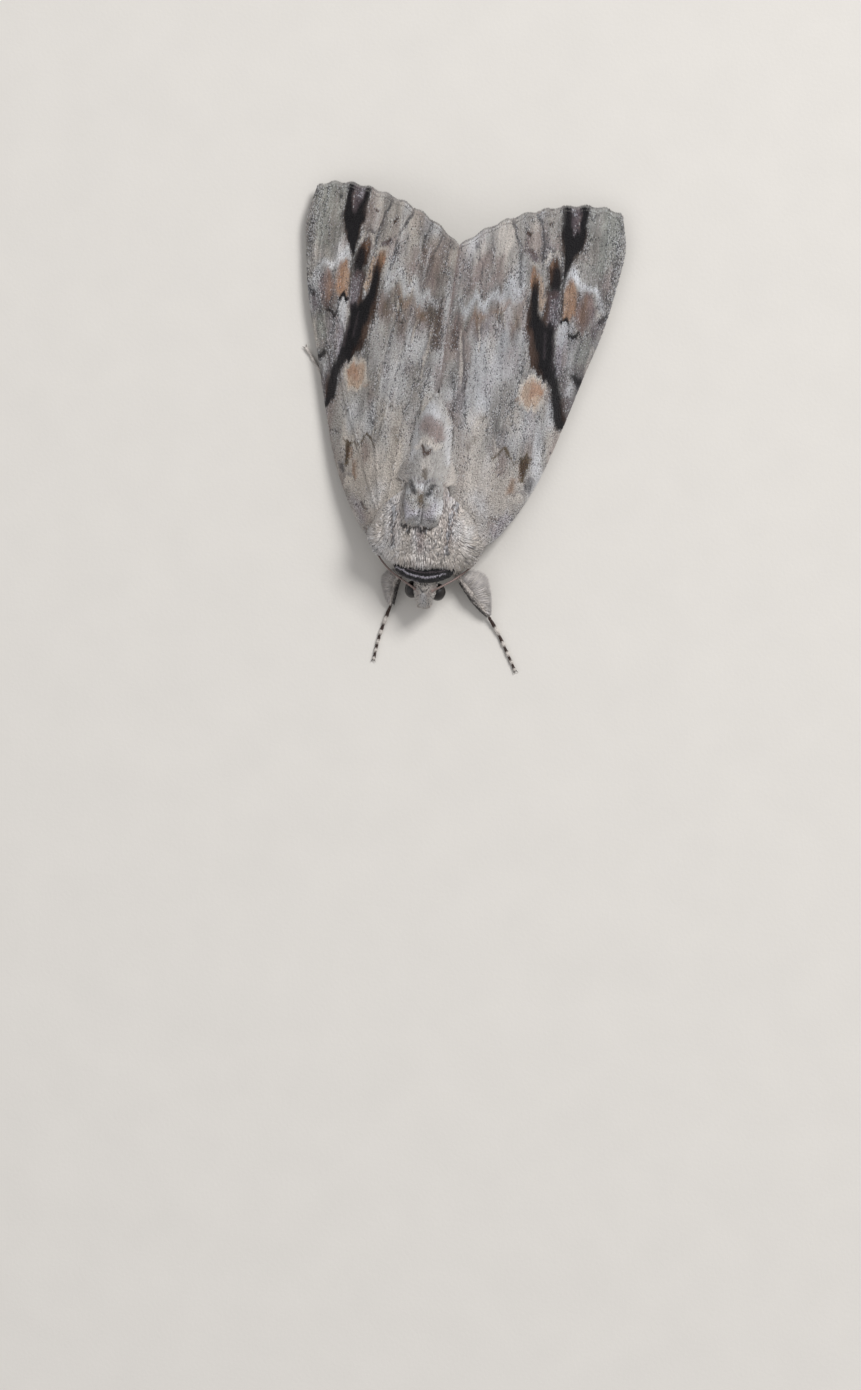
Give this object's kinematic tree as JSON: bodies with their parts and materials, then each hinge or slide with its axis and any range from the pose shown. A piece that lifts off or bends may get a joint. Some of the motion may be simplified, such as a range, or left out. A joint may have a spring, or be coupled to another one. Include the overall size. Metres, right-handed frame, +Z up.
{
  "type": "moth",
  "caption": "Large underwing moth at rest, grey bark-patterned forewings folded flat over the body, head low and forelegs stretched ahead.",
  "frame": {"origin": "centre of the moth's outline in plan, on the plane that its feet rest on", "axes": "+Y runs from the head to the wing tips, +X to the moth's own left side, +Z up away from the resting plane"},
  "size_m": [0.036, 0.0534, 0.0095],
  "materials": {
    "forewing": "matt grey scales",
    "hindwing": "matt black scales",
    "thorax": "matt grey scales and hair",
    "abdomen": "matt grey-brown scales and hair",
    "collar": "matt violet-black scales",
    "head": "matt grey-tan scales",
    "eye": "glossy dark brown",
    "antenna": "satin brown",
    "leg": "matt grey scales and hair",
    "tarsus": "satin, dark with white rings"
  },
  "bodies": {
    "root": {"abdomen": "abdomen", "antenna_left": "antenna", "antenna_right": "antenna", "collar": "collar", "crest": "thorax", "eye_left": "eye", "eye_right": "eye", "forefemur_left": "leg", "forefemur_right": "leg", "foretarsus_left": "tarsus", "foretarsus_right": "tarsus", "foretibia_left": "leg", "foretibia_right": "leg", "forewing_left": "forewing", "forewing_right": "forewing", "head": "head", "hindfemur_left": "leg", "hindfemur_right": "leg", "hindtarsus_left": "tarsus", "hindtarsus_right": "tarsus", "hindtibia_left": "leg", "hindtibia_right": "leg", "hindwing_left": "hindwing", "hindwing_right": "hindwing", "midfemur_left": "leg", "midfemur_right": "leg", "midtarsus_left": "tarsus", "midtarsus_right": "tarsus", "midtibia_left": "leg", "midtibia_right": "leg", "palp_left": "head", "palp_right": "head", "tegula_left": "thorax", "tegula_right": "thorax", "thorax": "thorax"}
  },
  "joints": []
}
